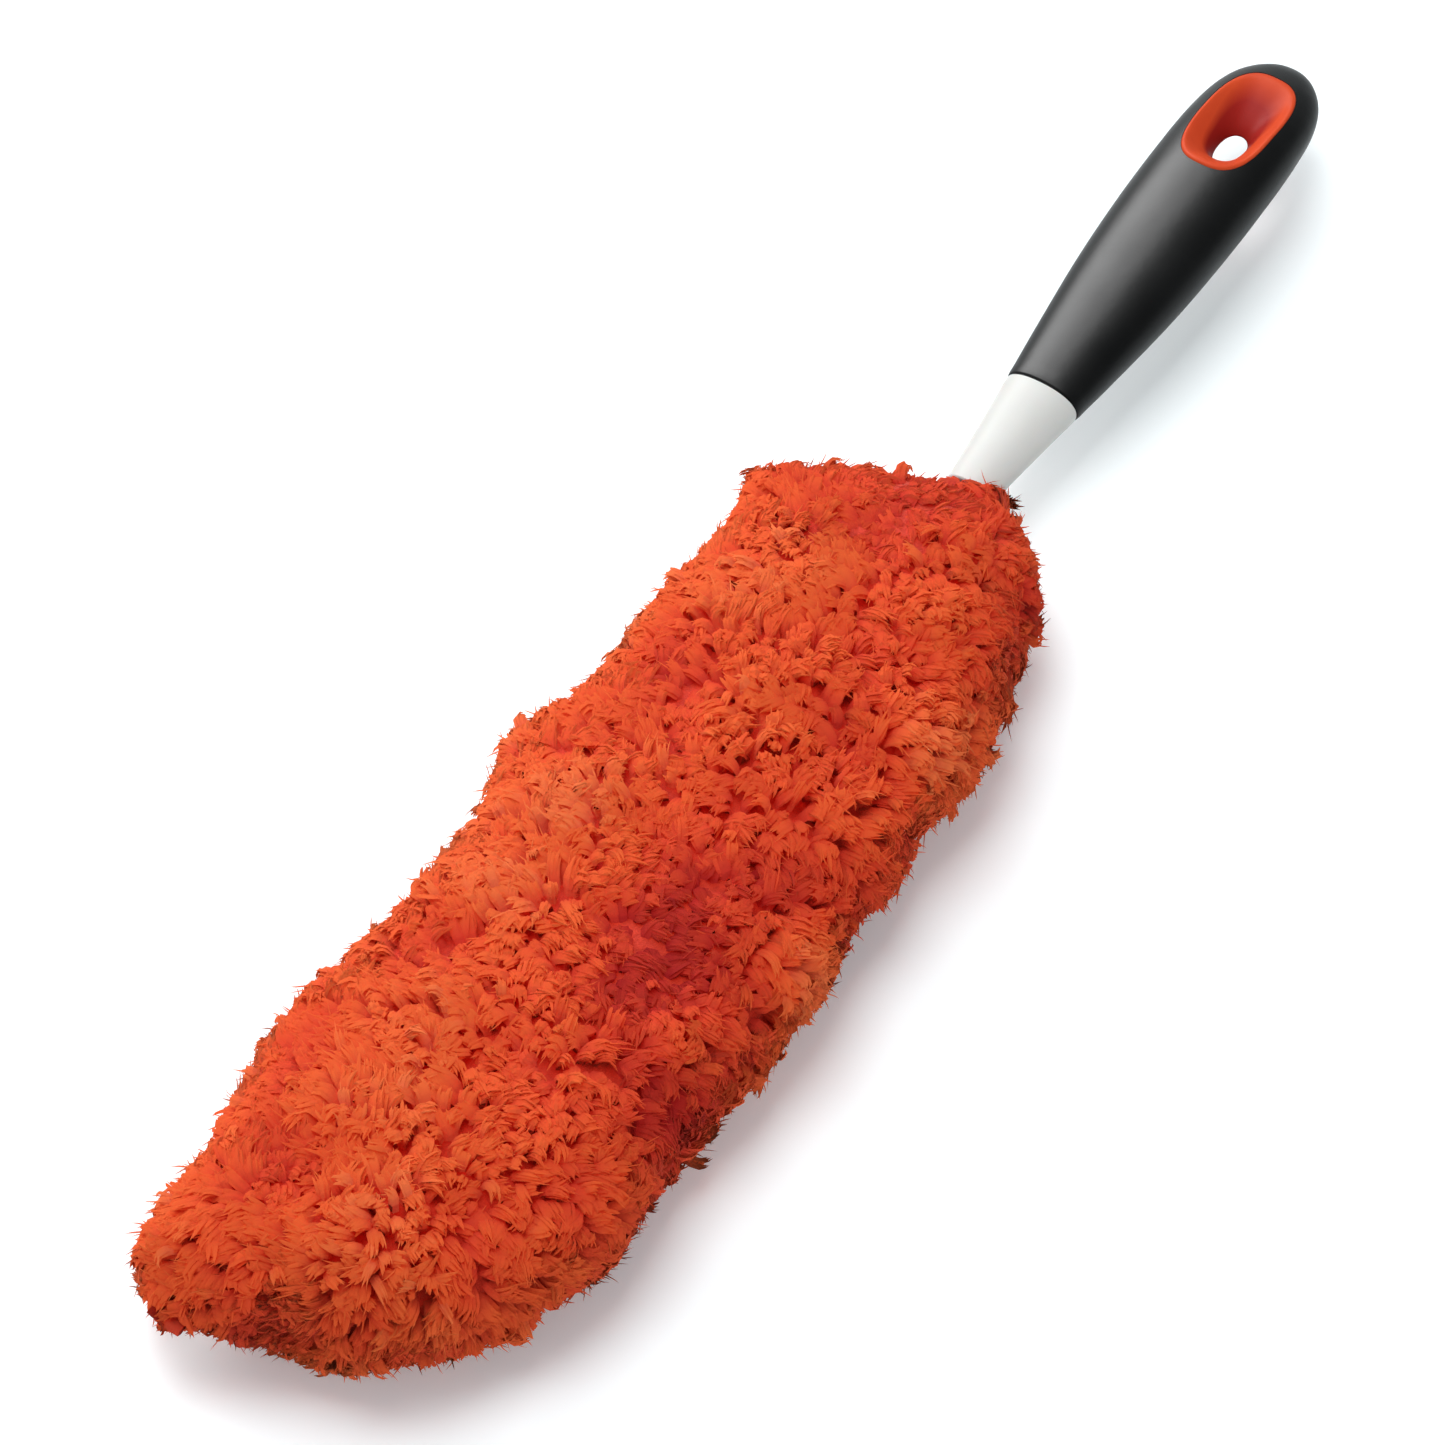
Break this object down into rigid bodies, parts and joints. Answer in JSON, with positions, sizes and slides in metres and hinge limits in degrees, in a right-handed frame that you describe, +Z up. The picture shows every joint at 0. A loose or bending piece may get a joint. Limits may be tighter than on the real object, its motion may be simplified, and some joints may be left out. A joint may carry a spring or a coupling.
{
  "type": "microfiber hand duster",
  "caption": "Hand duster with a fluffy long-pile microfiber sleeve on a flat flexible blade, a tapered oval neck, and a soft grip with a flared hang hole.",
  "frame": {"origin": "on the table under the middle of the duster's length and width, as it lies flat", "axes": "+X along the duster from the pile's tip towards the hang hole, +Z up through the flat of the blade, +Y across"},
  "size_m": [0.47, 0.105, 0.0573],
  "materials": {
    "white_plastic": "satin",
    "black_rubber": "satin",
    "orange_plastic": "satin",
    "blade_plastic": "matte",
    "pin_steel": "satin",
    "backing_fabric": "matte",
    "binding_fabric": "matte",
    "elastic_fabric": "matte",
    "orange_pile": "matte"
  },
  "bodies": {
    "handle": {"handle_core": "white_plastic", "soft_grip": "black_rubber", "hang_hole_liner": "orange_plastic", "blade_plug": "blade_plastic", "plug_pin": "pin_steel"},
    "blade": {"paddle_blade": "blade_plastic"},
    "sleeve": {"backing_top": "backing_fabric", "backing_bottom": "backing_fabric", "edge_binding": "binding_fabric", "cuff_casing": "binding_fabric", "elastic_band": "elastic_fabric", "pile_top": "orange_pile", "pile_bottom": "orange_pile"}
  },
  "joints": [
    {"name": "blade_flex", "type": "hinge", "parent": "handle", "child": "blade", "pos_m": [0.065, 0, 0.027], "axis": [0, 1, 0], "range_deg": [-20, 20], "stiffness_Nm_per_rad": 2.5},
    {"name": "sleeve_off", "type": "slide", "parent": "blade", "child": "sleeve", "axis": [-1, 0, 0], "range_m": [0, 0.3]}
  ]
}
